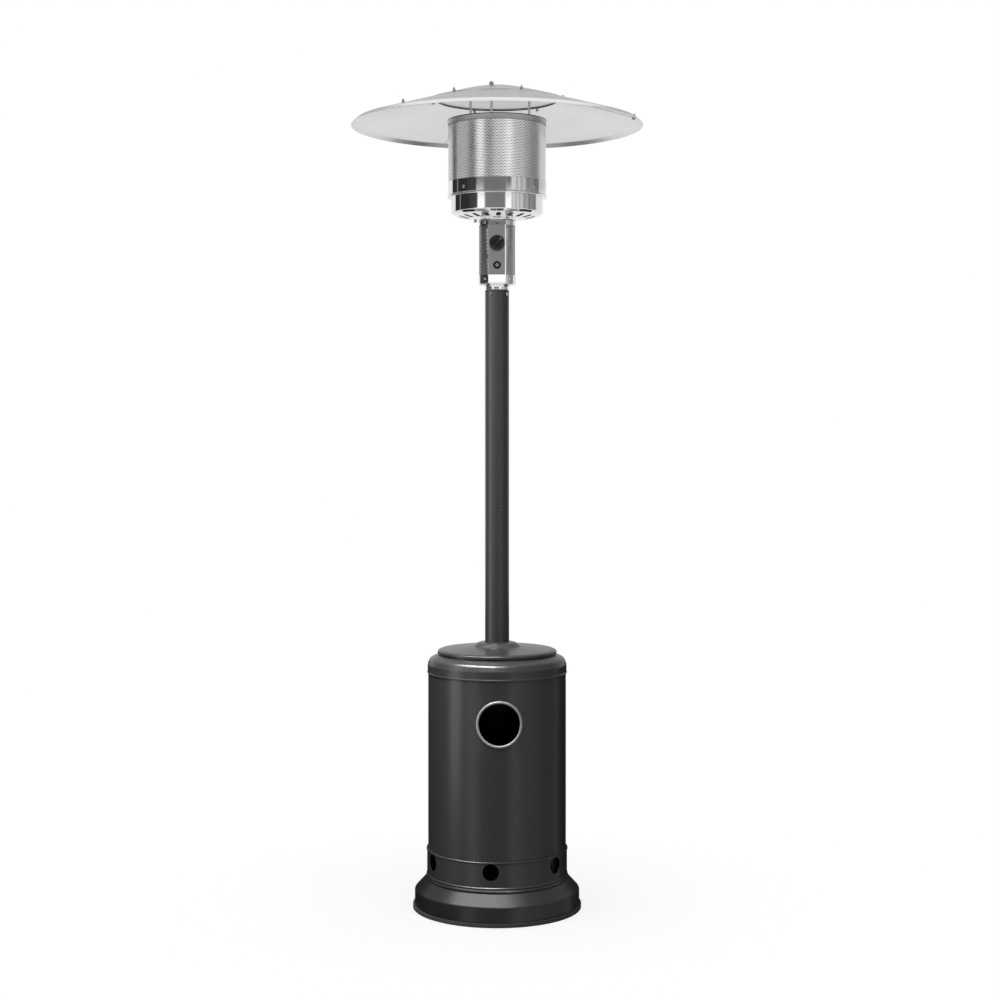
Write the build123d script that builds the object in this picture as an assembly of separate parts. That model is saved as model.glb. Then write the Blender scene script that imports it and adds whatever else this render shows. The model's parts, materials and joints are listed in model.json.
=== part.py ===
"""Mushroom-shaped gas patio heater, free standing, built from its separate pieces.

The frame is +Z up with the origin on the floor under the post. The front faces -Y.
A bearing is an angle around the post: 0 is the front and a positive one is to the right.
"""
import os
from math import atan2, cos, degrees, radians, sin

from build123d import *

# ------------------------------------------------------------------ driving dimensions (mm)
BASE_R = 230.5            # widest part of the heater's foot, over its edge trim
SKIRT_R = 224.5
SKIRT_TOP = 50.0
DECK_Z = 89.0             # middle of the deck's sheet, where the gas bottle stands
BAND_R = 191.3            # vent band between the foot and the housing
BAND_TOP = 162.5
HOUSING_R = 188.5         # middle of the housing's sheet
HOUSING_LOW = 163.3
HOUSING_TOP = 639.5
HAND_HOLE_Z = 526.0
HAND_HOLE_R = 55.5
HAND_HOLE_BEARING = 2.0
FRONT_HALF = 30.0         # half of the front sheet's arc, in degrees
RING_GRIP = 4.0           # how far the hand hole's ring covers the sheet
RING_WIDTH = 7.5
VENT_Z = 136.0
VENT_R = 22.0
VENTS = 6
FIRST_VENT = -5.0

LEG_R = 171.0             # legs stand on this circle, between bottle and housing
LEG_WIDTH = 30.0
LEG_DEPTH = 18.0
LEG_BEARINGS = (60.0, 180.0, 300.0)
PLATE_Z = 622.0           # underside of the plate that carries the post
PLATE_THICK = 3.0

POST_R = 33.0
POST_WALL = 1.5
POST_JOINT_Z = 1087.0
POST_TOP = 1688.0

HEAD_R = 50.0             # inside of the collars, outside of the wrap-round cover
NECK_TOP = 1704.0
COVER_LOW = 1712.0
COVER_HIGH = 1876.0
COLLAR_LOW_TOP = 1728.0
COLLAR_HIGH_LOW = 1864.0
PANEL_Y = -44.1           # front face of the flat control panel
PANEL_HALF = 23.0
KNOB_Z = 1814.0
KNOB_R = 21.5
IGNITER_Z = 1754.0

BOWL_FLOOR = 1878.5
BOWL_R = 125.0
BOWL_TOP = 1940.8
BOWL_VENTS = 18
FIRST_BOWL_VENT = 2.5
RING_R = 134.0
RING_TOP = 1983.0
SCREEN_R = 133.3
SCREEN_TOP = 2138.0
CAP_TOP = 2153.0

REFLECTOR_R = 399.5
REFLECTOR_RIM_Z = 2137.0
CREASE_R = 388.0          # where the reflector's slope turns down into its rim
CREASE_Z = 2147.6
PANEL_INNER_R = 167.0
CROWN_R = 194.0
SLOPE = 0.2926            # fall of the reflector for each millimetre outwards
SEAMS = (81.0, 201.0, -39.0)
STUD_R = 95.0
STUD_BEARINGS = (-9.0, 111.0, -129.0)

SHEET = 1.0
HEAVY_SHEET = 1.5
GAP = 0.1                 # between pieces that are put together
FULL_TURN = 360.0


# ------------------------------------------------------------------ helpers
def at(radius, bearing, z=0.0):
    """Point at a radius and bearing around the post."""
    return (radius * sin(radians(bearing)), -radius * cos(radians(bearing)), z)


def outwards(bearing, rise=0.0):
    """Direction away from the post at a bearing, tilted up by rise degrees."""
    flat = cos(radians(rise))
    x, y, _ = at(flat, bearing)
    return (x, y, sin(radians(rise)))


def spun(points, thickness=SHEET, bend=1.0, arc=FULL_TURN, bearing=0.0):
    """Sheet spun around the post: points are radius and height along its middle."""
    middle = FilletPolyline(*points, radius=bend) if len(points) > 2 else Line(*points)
    section = Plane.XZ * trace(middle, line_width=thickness)
    return Rot(0, 0, bearing - 90) * revolve(section, Axis.Z, arc)


def tube(outer, inner, low, high):
    """Straight round tube around the post."""
    return Pos(0, 0, low) * extrude(Circle(outer) - Circle(inner), high - low)


def rod(start, end, radius):
    """Round bar between two points."""
    way = Vector(*end) - Vector(*start)
    return extrude(Plane(origin=start, z_dir=way) * Circle(radius), way.length)


def pipe(points, radius, bend):
    """Bent round pipe or wire along a route."""
    route = FilletPolyline(*points, radius=bend)
    way = Vector(*points[1]) - Vector(*points[0])
    return sweep(Plane(origin=points[0], z_dir=way) * Circle(radius), route)


def hexagon(across, height):
    """Hexagonal prism standing on its plane."""
    return extrude(RegularPolygon(across / 2, 6, major_radius=False), height)


def group(pieces):
    """Separate solids that share one node."""
    return Compound(children=list(pieces))


def pan_screw(point, way, head_r=4.0, head_high=2.4, shank_r=2.0, length=6.0):
    """Pan-head screw whose head seats at the point and stands out along way."""
    head = fillet(extrude(Circle(head_r), head_high).edges().group_by(Axis.Z)[-1], head_high * 0.6)
    slot = Pos(0, 0, head_high) * Box(head_r, 1.0, 1.6)
    shank = extrude(Circle(shank_r), -length)
    return Plane(origin=point, z_dir=way) * (head + shank - slot - Rot(0, 0, 90) * slot)


def hex_bolt(point, way, across=8.0, head_high=3.5, shank_r=2.5, length=16.0):
    """Hexagon-head bolt: the head is behind the point and the shank runs along way."""
    head = Pos(0, 0, -head_high) * hexagon(across, head_high)
    return Plane(origin=point, z_dir=way) * (head + extrude(Circle(shank_r), length))


def hex_nut(point, way, across=8.0, high=4.0, bore_r=2.55):
    """Hexagon nut that seats at the point."""
    return Plane(origin=point, z_dir=way) * (hexagon(across, high) - extrude(Circle(bore_r), high))


def drilled(shape, places, radius, depth=8.0):
    """The shape with a hole through it at each (point, way)."""
    for point, way in places:
        shape -= Plane(origin=point, z_dir=way) * Cylinder(radius, 2 * depth)
    return shape


# ------------------------------------------------------------------ foot
LEG_BOLT_R = 4.0
LEG_END = 3.0             # thickness of a leg's end plates
DECK_TOP = DECK_Z + HEAVY_SHEET / 2
LEG_FOOT = DECK_TOP + GAP
LEG_FEET = [(at(LEG_R, b, DECK_Z), (0, 0, 1)) for b in LEG_BEARINGS]
LEG_HEADS = [(at(LEG_R, b, PLATE_Z), (0, 0, 1)) for b in LEG_BEARINGS]


def base_pan():
    """Pressed steel foot: turned-out rim, upright skirt, cone, bead and flat deck."""
    rim, bead_r, trough = SKIRT_R + 4.5, 195.3, 193.3
    outline = [(rim, 5), (SKIRT_R, 5), (SKIRT_R, SKIRT_TOP), (trough + 4, 79), (trough, 81)]
    outline += [(bead_r, 84), (trough, 87), (trough - 2, DECK_Z), (20, DECK_Z)]
    pan = spun(outline, HEAVY_SHEET, [1, 8, 2, 1, 1, 1, 1])
    return drilled(pan, LEG_FEET, LEG_BOLT_R + 0.3)


def base_edge_trim():
    """Edge guard that grips the rim of the foot and meets the floor."""
    lip, inner = 1.2, SKIRT_R + 1.5
    trim = tube(BASE_R, SKIRT_R - 2.5, 0, 4.1)
    trim += tube(BASE_R, BASE_R - lip, 0, 10)
    return trim + tube(BASE_R, inner, 5.9, 10)


def vent_band():
    """Band with the air vents: a foot flange, a bead at each end and a ledge for the housing."""
    low = DECK_TOP + 0.55
    lip = BAND_R - 8
    outline = [(BAND_R - 9, low), (BAND_R + 1.6, low), (BAND_R + 1.6, low + 3), (BAND_R, low + 5)]
    outline += [(BAND_R, BAND_TOP - 5), (BAND_R + 1.6, BAND_TOP - 3), (BAND_R + 1.6, BAND_TOP)]
    outline += [(lip, BAND_TOP), (lip, BAND_TOP + 10)]
    band = spun(outline, SHEET, [1, 1, 1, 1, 1, 1, 1.2], bearing=FIRST_VENT + FULL_TURN / VENTS / 2)
    for k in range(VENTS):
        bearing = FIRST_VENT + k * FULL_TURN / VENTS
        hole = Plane(origin=at(BAND_R, bearing, VENT_Z), z_dir=outwards(bearing))
        band -= hole * Cylinder(VENT_R, 30)
    return band


def support_leg(bearing):
    """Channel leg with an end plate at each end, open side towards the bottle."""
    height = PLATE_Z - GAP - LEG_FOOT
    wall = 2.0
    outer = Rectangle(LEG_WIDTH, LEG_DEPTH)
    inner = Pos(0, wall) * Rectangle(LEG_WIDTH - 2 * wall, LEG_DEPTH)
    leg = extrude(outer - inner, height)
    end = extrude(Rectangle(LEG_WIDTH, LEG_DEPTH), LEG_END) - Cylinder(LEG_BOLT_R + 0.3, 20)
    leg += end + Pos(0, 0, height - LEG_END) * end
    return Pos(*at(LEG_R, bearing, LEG_FOOT)) * Rot(0, 0, bearing) * leg


def leg_fasteners():
    """Bolts from the deck and the carrier plate into the legs, with their nuts in the channels."""
    heads = ((DECK_Z - HEAVY_SHEET / 2 - GAP, 1), (PLATE_Z + PLATE_THICK + GAP, -1))
    seats = ((LEG_FOOT + LEG_END + GAP, 1), (PLATE_Z - LEG_END - 2 * GAP, -1))
    bolts = [hex_bolt(at(LEG_R, b, z), (0, 0, way), 11, 4, LEG_BOLT_R, 15)
             for b in LEG_BEARINGS for z, way in heads]
    nuts = [hex_nut(at(LEG_R, b, z), (0, 0, way), 11, 5, LEG_BOLT_R + 0.05)
            for b in LEG_BEARINGS for z, way in seats]
    return group(bolts + nuts)


# ------------------------------------------------------------------ post and its carrier
FLANGE_R = 58.0
FLANGE_THICK = 4.0
FLANGE_BOLT_R = 46.0
FLANGE_Z = PLATE_Z + PLATE_THICK + GAP
POST_BOLTS = [(at(FLANGE_BOLT_R, 45 + 90 * k, PLATE_Z), (0, 0, 1)) for k in range(4)]
SLEEVE_SCREWS = [(POST_JOINT_Z - 28, 180.0), (POST_JOINT_Z + 28, 180.0)]
POST_TOP_SCREWS = [(at(POST_R, -35 + 90 * k, 1677), outwards(-35 + 90 * k)) for k in range(4)]


def post_carrier_plate():
    """Round plate on top of the three legs, with a way through for the gas hose."""
    plate = tube(LEG_R + 8, 22, PLATE_Z, PLATE_Z + PLATE_THICK)
    plate = drilled(plate, LEG_HEADS, LEG_BOLT_R + 0.3)
    return drilled(plate, POST_BOLTS, 3.3)


def flush_screw(z, bearing):
    """Low screw that ends just inside the post's surface, so that the housing slides over it."""
    face = POST_R - 0.25
    head = Plane(origin=at(face, bearing, z), z_dir=outwards(bearing)) * extrude(Circle(4), -0.9)
    shank = Plane(origin=at(face, bearing, z), z_dir=outwards(bearing)) * extrude(Circle(2.2), -7)
    return head + shank


def countersink(shape):
    """The shape with room for the flush screws."""
    for z, bearing in SLEEVE_SCREWS:
        hole = Plane(origin=at(POST_R + 2, bearing, z), z_dir=outwards(bearing))
        shape -= hole * extrude(Circle(4.05), -3.25)
        shape -= hole * extrude(Circle(2.25), -12)
    return shape


def lower_post():
    """Lower tube of the post with the flange that it stands on."""
    post = tube(POST_R, POST_R - POST_WALL, FLANGE_Z, POST_JOINT_Z)
    post += tube(FLANGE_R, POST_R - POST_WALL, FLANGE_Z, FLANGE_Z + FLANGE_THICK)
    return countersink(drilled(post, POST_BOLTS, 3.3))


def upper_post():
    """Upper tube of the post."""
    post = tube(POST_R, POST_R - POST_WALL, POST_JOINT_Z + 0.3, POST_TOP)
    return drilled(countersink(post), POST_TOP_SCREWS, 2.1)


def post_sleeve():
    """Inner sleeve that joins the two tubes of the post."""
    outer = POST_R - POST_WALL - GAP
    return countersink(tube(outer, outer - 2, POST_JOINT_Z - 57, POST_JOINT_Z + 57))


def post_fasteners():
    """Bolts that hold the post's flange down on the carrier plate, with their nuts below."""
    top = FLANGE_Z + FLANGE_THICK + GAP
    bolts = [hex_bolt(at(FLANGE_BOLT_R, 45 + 90 * k, top), (0, 0, -1), 10, 4, 3.0, 17) for k in range(4)]
    nuts = [hex_nut(at(FLANGE_BOLT_R, 45 + 90 * k, PLATE_Z - GAP), (0, 0, -1), 10, 5, 3.05)
            for k in range(4)]
    return group(bolts + nuts)


def post_joint_screws():
    """Flush screws through both tubes of the post into the sleeve."""
    return group(flush_screw(z, bearing) for z, bearing in SLEEVE_SCREWS)


# ------------------------------------------------------------------ gas bottle housing, which slides up
LID_SKIRT_R = 190.0
LID_SCREWS = [(at(LID_SKIRT_R + SHEET / 2, b, 651), outwards(b)) for b in (118.0, 180.0, 242.0)]


HAND_HOLE = Plane(origin=at(HOUSING_R, HAND_HOLE_BEARING, HAND_HOLE_Z), z_dir=outwards(HAND_HOLE_BEARING))


def drum(arc, bearing):
    """Part of the housing's drum that starts at a bearing."""
    return spun([(HOUSING_R, HOUSING_LOW), (HOUSING_R, HOUSING_TOP + 18)], SHEET, 1, arc, bearing)


def tank_housing():
    """Rolled sheet round the sides and back of the bottle."""
    side = HAND_HOLE_BEARING + FRONT_HALF
    return drilled(drum(FULL_TURN - 2 * FRONT_HALF, side), LID_SCREWS, 2.1)


def housing_front():
    """Front sheet of the drum with the round hand hole, welded edge to edge with the rest."""
    sheet = drum(2 * FRONT_HALF, HAND_HOLE_BEARING - FRONT_HALF)
    return sheet - HAND_HOLE * Cylinder(HAND_HOLE_R + RING_GRIP, 60)


def hand_hole_ring():
    """Rounded ring that grips the edge of the hand hole."""
    low, high = HAND_HOLE_Z - 80, HAND_HOLE_Z + 80
    ring = tube(HOUSING_R + 3.8, HOUSING_R - 2.6, low, high)
    ring &= HAND_HOLE * (Cylinder(HAND_HOLE_R + RING_WIDTH, 90) - Cylinder(HAND_HOLE_R, 90))
    ring = fillet(ring.edges(), 2.2)
    sheet = SHEET / 2 + GAP
    groove = tube(HOUSING_R + sheet, HOUSING_R - sheet, low, high)
    return ring - (groove - HAND_HOLE * Cylinder(HAND_HOLE_R + RING_GRIP - GAP, 60))


def housing_lid():
    """Spun lid: skirt with a bead, rounded shoulder, groove, flat top disc and a hump at the post."""
    outline = [(LID_SKIRT_R, 640), (LID_SKIRT_R + 1.3, 642), (LID_SKIRT_R, 645), (LID_SKIRT_R, 664)]
    outline += [(184, 680), (165, 689), (159.5, 690), (159.5, 693), (163, 695), (162, 701)]
    outline += [(155, 704), (66, 711.5), (52, 722), (38, 725), (POST_R + 0.8, 725)]
    bends = [0.8, 0.8, 10, 12, 2, 0.8, 0.8, 1.5, 2, 8, 8, 8, 1]
    return drilled(spun(outline, SHEET, bends), LID_SCREWS, 2.1)


def lid_screws():
    """Screws through the lid's skirt into the housing."""
    return group(pan_screw(point, way, length=5) for point, way in LID_SCREWS)


# ------------------------------------------------------------------ head: neck, collars, cover and panel
COLLAR_R = HEAD_R + 1.2
COLLAR_Y = PANEL_Y - 1.3   # flat front of the collars
FLANGE_HOLE = 41.0
COLLAR_BEARINGS = (-42.0, 42.0, 138.0, 222.0)
LOW_COLLAR_SCREWS = [(at(COLLAR_R, b, 1717), outwards(b)) for b in COLLAR_BEARINGS]
HIGH_COLLAR_SCREWS = [(at(COLLAR_R, b, 1871), outwards(b)) for b in COLLAR_BEARINGS]


def head_neck():
    """Bright neck: a spigot inside the post that flares out to the head."""
    spigot = POST_R - POST_WALL - 0.9
    outline = [(spigot, 1645), (spigot, POST_TOP + 1), (32, POST_TOP + 3), (32, 1696), (38, NECK_TOP - 0.8)]
    outline += [(HEAD_R - 1, NECK_TOP - 0.8)]
    neck = spun(outline, HEAVY_SHEET, [0.8, 0.8, 3, 2.5]) - Pos(0, PANEL_Y - 20, NECK_TOP) * Box(100, 40, 20)
    return drilled(neck, POST_TOP_SCREWS, 2.1)


def post_top_screws():
    """Four screws that hold the neck's spigot in the post."""
    return group(pan_screw(point, way, 5.0, 3.0) for point, way in POST_TOP_SCREWS)


def collar(outer, front, low, high, floor):
    """Collar round the head: a band with a flat front, and a flange turned in at one end."""
    def outline(inset):
        room = Pos(0, 100 + front + inset) * Rectangle(200, 200)
        return Circle(outer - inset) & room
    band = extrude(outline(0), high - low)
    end = floor - low
    band = fillet(band.edges().group_by(Axis.Z)[0 if end < 1 else -1], 1.8)
    hollow = Pos(0, 0, 0 if end else SHEET) * extrude(outline(SHEET), high - low - SHEET)
    return Pos(0, 0, low) * (band - hollow - Cylinder(FLANGE_HOLE, 400))


def lower_collar():
    """Polished collar at the foot of the control head."""
    low = NECK_TOP + GAP
    return drilled(collar(COLLAR_R, COLLAR_Y, low, COLLAR_LOW_TOP, low), LOW_COLLAR_SCREWS, 2.1)


def upper_collar():
    """Polished collar under the burner, with a narrow slot at its front."""
    high = COVER_HIGH + 1.5
    band = collar(COLLAR_R, COLLAR_Y, COLLAR_HIGH_LOW, high, high)
    return drilled(band - Pos(0, COLLAR_Y, 1868) * Box(22, 4, 2.6), HIGH_COLLAR_SCREWS, 2.1)


def collar_screws():
    """Screws through both collars into the cover."""
    return group(pan_screw(point, way, 3.5, 2.0) for point, way in LOW_COLLAR_SCREWS + HIGH_COLLAR_SCREWS)


def mesh_cover():
    """Perforated cover wrapped round the sides and back of the head."""
    cover = tube(HEAD_R - GAP, HEAD_R - 1.1, COVER_LOW, COVER_HIGH)
    cover -= Pos(0, -HEAD_R, 0) * Box(2 * PANEL_HALF + 0.8, 30, 2 * COVER_HIGH + 10)
    return drilled(cover, LOW_COLLAR_SCREWS + HIGH_COLLAR_SCREWS, 2.1)


def front_panel():
    """Flat control panel with its side flanges and the holes for knob and igniter."""
    top = COLLAR_HIGH_LOW + 1.5
    high = top - COVER_LOW
    thick = 1.2
    middle = (COVER_LOW + top) / 2
    panel = Pos(0, PANEL_Y + thick / 2, middle) * Box(2 * PANEL_HALF, thick, high)
    for side in (-1, 1):
        x = side * (PANEL_HALF - thick / 2)
        panel += Pos(x, PANEL_Y + 4, middle) * Box(thick, 8, high)
    panel -= Pos(0, PANEL_Y, KNOB_Z) * Rot(90, 0, 0) * Cylinder(5, 10)
    return panel - Pos(0, PANEL_Y, IGNITER_Z) * Rot(90, 0, 0) * Cylinder(8.1, 10)


# ------------------------------------------------------------------ gas valve, knob and igniter
VALVE_FRONT = PANEL_Y + 1.3
VALVE_BACK = -6.0
PLUG_R = 8.0


def along_y(radius, start, end, z, x=0.0):
    """Round bar along Y, from start to end."""
    return rod((x, start, z), (x, end, z), radius)


def gas_valve():
    """Valve body with the bore for its plug and ports for inlet, burner and pilot."""
    long = VALVE_BACK - VALVE_FRONT
    body = Pos(0, VALVE_FRONT + long / 2, KNOB_Z) * Box(32, long, 40)
    body = fillet(body.edges().filter_by(Axis.Y), 5)
    body -= along_y(3.6, VALVE_FRONT - 1, VALVE_BACK, KNOB_Z)
    body -= along_y(PLUG_R + 0.08, -36, VALVE_BACK + 1, KNOB_Z)
    for x in (-8, 8):
        body -= rod((x, -24, 1828), (x, -24, 1840), 4.1)
    return body - rod((0, -24, 1790), (0, -24, 1799), 6.1)


def valve_plug():
    """Turning plug of the tap, which the spindle slides in."""
    return along_y(PLUG_R, -35.6, -17.5, KNOB_Z) - along_y(3.05, -40, -10, KNOB_Z)


def valve_spindle():
    """Spindle that turns with the plug and is pressed through it."""
    return along_y(3.0, -62, -19.5, KNOB_Z)


def safety_magnet():
    """Flame-failure unit screwed into the back of the valve."""
    return along_y(PLUG_R, -11, 2, KNOB_Z) + along_y(5, 2, 8, KNOB_Z)


def control_knob():
    """Round knob with a raised grip across it."""
    back, front = PANEL_Y - 6.4, PANEL_Y - 15
    disc = fillet(along_y(KNOB_R, back, front, KNOB_Z).edges().group_by(Axis.Y)[0], 2.5)
    grip = Pos(0, (front - 4), KNOB_Z) * Rot(0, 45, 0) * Box(9, 10, 2 * KNOB_R - 5)
    grip = fillet(grip.edges(), 2)
    return disc + grip - along_y(3.05, -62.05, -40, KNOB_Z)


def gas_inlet_fitting():
    """Brass inlet under the valve, where the gas hose is pushed on."""
    fitting = rod((0, -24, 1799), (0, -24, 1782), 6.0) + Pos(0, -24, 1788) * hexagon(15, 5)
    return fitting + rod((0, -24, 1782), (0, -24, 1768), 4.0)


def igniter_body():
    """Piezo igniter behind the panel, with the bore for its button."""
    body = along_y(8.0, PANEL_Y - 1, -6, IGNITER_Z)
    return body - along_y(5.3, PANEL_Y - 2, PANEL_Y + 14, IGNITER_Z)


def igniter_bezel():
    """Ring in front of the panel."""
    ring = along_y(11, PANEL_Y - 4, PANEL_Y - GAP, IGNITER_Z)
    ring = fillet(ring.edges().group_by(Axis.Y)[0], 1.5)
    ring -= along_y(8.1, PANEL_Y - 1.1, PANEL_Y + 1, IGNITER_Z)
    return ring - along_y(5.6, PANEL_Y - 6, PANEL_Y, IGNITER_Z)


def igniter_nut():
    """Nut that clamps the igniter to the panel from behind."""
    nut = Plane(origin=(0, PANEL_Y + 1.3, IGNITER_Z), z_dir=(0, 1, 0)) * hexagon(21, 4)
    return nut - along_y(8.05, PANEL_Y, PANEL_Y + 8, IGNITER_Z)


def igniter_button():
    """Push button of the igniter."""
    button = along_y(5.0, PANEL_Y - 10.5, PANEL_Y + 7.5, IGNITER_Z)
    return fillet(button.edges().group_by(Axis.Y)[0], 1.2)


def tilt_switch():
    """Safety switch that cuts the gas if the heater is knocked over."""
    body = Pos(0, 0, 1720) * extrude(Circle(8), 26)
    return Pos(0, 30, 0) * (body + Pos(0, 0, 1746) * extrude(Circle(3), 8))


def tilt_switch_bracket():
    """Angle that holds the tilt switch on the collar's floor."""
    upright = Pos(0, 39.2, 1726.6) * Box(18, 1.6, 41)
    foot = Pos(0, 33, 1706.9) * Box(18, 14, 1.6)
    return upright + foot


# ------------------------------------------------------------------ burner
DECK_HOLES = ((-92.0, -8.0, 2.4), (-96.0, 8.0, 1.9), (-82.0, 14.0, 3.9))   # x, y, radius
BOWL_BOLTS = [(at(60, b, 1878), (0, 0, 1)) for b in (-92.0, 28.0, 148.0)]
RING_SCREWS = [(at(RING_R + SHEET / 2, -42.5 + 90 * k, 1961), outwards(-42.5 + 90 * k)) for k in range(4)]


def feed_pipe():
    """Main gas pipe from the valve to the injector."""
    route = [(8, -24, 1828.5), (8, -24, 1852), (0, 0, 1864), (0, 0, 1880.5)]
    return pipe(route, 4.0, 6)


def injector():
    """Brass injector that fires gas into the mixing tube."""
    nose = Cone(5, 2, 8, align=(Align.CENTER, Align.CENTER, Align.MIN))
    return Pos(0, 0, 1882.4) * (hexagon(14, 10) + Pos(0, 0, 10) * nose)


def injector_bracket():
    """Strap across the bowl's floor that holds the injector."""
    low = BOWL_FLOOR + SHEET / 2 + GAP
    strap = Pos(0, 0, low) * extrude(Rectangle(96, 15), 1.5)
    return strap - Pos(0, 0, low) * Cylinder(4.2, 10)


def burner_bowl():
    """Polished bowl with a ring of air vents in its sloping floor."""
    outline = [(42, BOWL_FLOOR), (50, BOWL_FLOOR), (117, 1893.8), (BOWL_R, 1900), (BOWL_R, BOWL_TOP)]
    bowl = spun(outline, SHEET, [4, 4, 4])
    slot = Pos(0, 0, 1888) * extrude(Rot(0, 0, 90) * SlotOverall(29, 13), 40, both=True)
    for k in range(BOWL_VENTS):
        bowl -= Rot(0, 0, FIRST_BOWL_VENT + k * FULL_TURN / BOWL_VENTS) * Pos(0, -91.5, 0) * slot
    return drilled(bowl, BOWL_BOLTS, 2.7)


def upper_ring():
    """Polished ring above the bowl, with a rolled lower lip and a flange on the bowl's edge."""
    low = BOWL_TOP + 0.6
    outline = [(118, low), (RING_R + 1.9, low), (RING_R + 1.9, low + 3.5), (RING_R, low + 6)]
    outline += [(RING_R, RING_TOP)]
    return drilled(spun(outline, SHEET, [1.2, 1, 1]), RING_SCREWS, 2.1)


def burner_screws():
    """Screws through the ring into the emitter screen, and the bolts under the bowl."""
    screws = [pan_screw(point, way) for point, way in RING_SCREWS]
    return group(screws + [hex_bolt(point, way, 8, 3, 2.5, 14) for point, way in BOWL_BOLTS])


def burner_deck():
    """Plate that closes the bowl and carries the mixing tube and the pilot."""
    low = BOWL_TOP + 1.2
    deck = tube(132.0, 18.4, low, low + 1.2)
    for x, y, radius in DECK_HOLES:
        deck -= Pos(x, y, low) * Cylinder(radius, 10)
    return deck


def mixing_tube():
    """Bell-mouthed tube that mixes air into the gas."""
    outline = [(27, 1906), (17.3, 1922), (17.3, 1985.5)]
    return spun(outline, HEAVY_SHEET, 12) + tube(30, 17, BOWL_TOP + 2.5, BOWL_TOP + 4)


def burner_head():
    """Flat drum with flame ports round its edge."""
    outline = [(16.5, 1986.3), (74, 1986.3), (74, 2000), (30, 2008), (0, 2008)]
    head = spun(outline, SHEET, [2, 3, 6])
    ports = 36
    for k in range(ports):
        bearing = k * FULL_TURN / ports
        head -= Plane(origin=at(74, bearing, 1993), z_dir=outwards(bearing)) * Cylinder(1.6, 8)
    return head


def pilot_pipe():
    """Thin gas pipe from the valve to the pilot."""
    route = [(-8, -24, 1828.5), (-8, -24, 1850), (-28, -24, 1868), (-28, -24, 1900), (-92, -8, 1922)]
    return pipe(route + [(-92, -8, 1978)], 2.0, 8)


def pilot_burner():
    """Pilot jet hood."""
    hood = Pos(-92, -8, 1978.2) * extrude(Circle(6), 14)
    return hood - Pos(-92, -8, 1981) * extrude(Circle(4.8), 12)


def thermocouple():
    """Flame sensor and its lead back to the safety magnet."""
    route = [(0, 8.2, KNOB_Z), (0, 22, KNOB_Z), (-20, 33, 1850), (-20, 33, 1900), (-96, 34, 1912)]
    return pipe(route + [(-96, 8, 1926), (-96, 8, 1992)], 1.5, 8)


def ignition_lead():
    """High-voltage lead from the igniter to the electrode."""
    route = [(0, -5.8, IGNITER_Z), (0, 8, IGNITER_Z), (-32, 16, 1790), (-34, 14, 1900), (-82, 14, 1918)]
    return pipe(route + [(-82, 14, 1930)], 1.3, 5.5)


def spark_electrode():
    """Ceramic-sleeved electrode beside the pilot."""
    sleeve = Pos(-82, 14, 1930.2) * extrude(Circle(3.5), 45)
    return sleeve + Pos(-82, 14, 1975.2) * extrude(Circle(1), 14)


def pilot_bracket():
    """Angle on the burner deck that steadies pilot, sensor and electrode."""
    low = BOWL_TOP + 2.5
    foot = Pos(-90, 3, low + 0.6) * Box(34, 42, 1.2)
    for x, y, radius in DECK_HOLES:
        foot -= Pos(x, y, low) * Cylinder(radius, 10)
    return foot + Pos(-106.4, 3, low + 13) * Box(1.2, 42, 26)


# ------------------------------------------------------------------ emitter
def emitter_screen():
    """Perforated stainless screen that glows in use."""
    return drilled(tube(SCREEN_R, SCREEN_R - 0.8, 1950, SCREEN_TOP + 2), RING_SCREWS, 2.1)


def emitter_cap():
    """Lid of the emitter with a downturned band and the holes for the studs."""
    outline = [(0, CAP_TOP - 0.5), (RING_R + 0.4, CAP_TOP - 0.5), (RING_R + 0.4, SCREEN_TOP)]
    cap = spun(outline, SHEET, 2.5)
    return drilled(cap, [(at(STUD_R, b, CAP_TOP), (0, 0, 1)) for b in STUD_BEARINGS], 3.5)


# ------------------------------------------------------------------ reflector
TILT = degrees(atan2(1, SLOPE))               # rise of the bolts, square to the slope
BOLT_PLACES = [(180.0, SEAMS[0] + 60 * k) for k in range(6)] + [(376.0, seam - 0.9) for seam in SEAMS]


def slope_z(radius, lift=0.0):
    """Height of the reflector's sheet at a radius, lifted square to it."""
    return CREASE_Z + (CREASE_R - radius) * SLOPE + lift / cos(atan2(SLOPE, 1))


def reflector_places(lift):
    """Centres and directions of the reflector's bolts, on a surface lifted above the sheet."""
    out, up = lift * cos(radians(TILT)), lift * sin(radians(TILT))
    return [(at(r + out, b, slope_z(r) + up), outwards(b, TILT)) for r, b in BOLT_PLACES]


def reflector_crown():
    """Domed middle of the reflector, which laps over the three panels."""
    lift = SHEET + 0.05
    outline = [(0, 2246.5), (25, 2246.5), (62, 2241.5), (100, slope_z(100, lift) - 0.5)]
    crown = spun(outline + [(150, slope_z(150, lift)), (CROWN_R, slope_z(CROWN_R, lift))], SHEET, 60)
    crown = drilled(crown, [(at(STUD_R, b, 2232), (0, 0, 1)) for b in STUD_BEARINGS], 3.5)
    return drilled(crown, reflector_places(0), 2.7)


def reflector_panel(seam):
    """A third of the reflector, with a joggled flap under its neighbour at the seam."""
    split, lap = 0.12, 2.6
    slope = [(PANEL_INNER_R, slope_z(PANEL_INNER_R)), (CREASE_R, CREASE_Z)]
    panel = spun(slope + [(REFLECTOR_R, REFLECTOR_RIM_Z)], SHEET, 4, 120 - split, seam + split / 2)
    flap = [(r, slope_z(r, -SHEET)) for r in (PANEL_INNER_R + 3, CREASE_R - 3)]
    panel += spun(flap, SHEET, 1, 2 * lap, seam - lap)
    return drilled(panel, reflector_places(0), 2.7)


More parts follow.
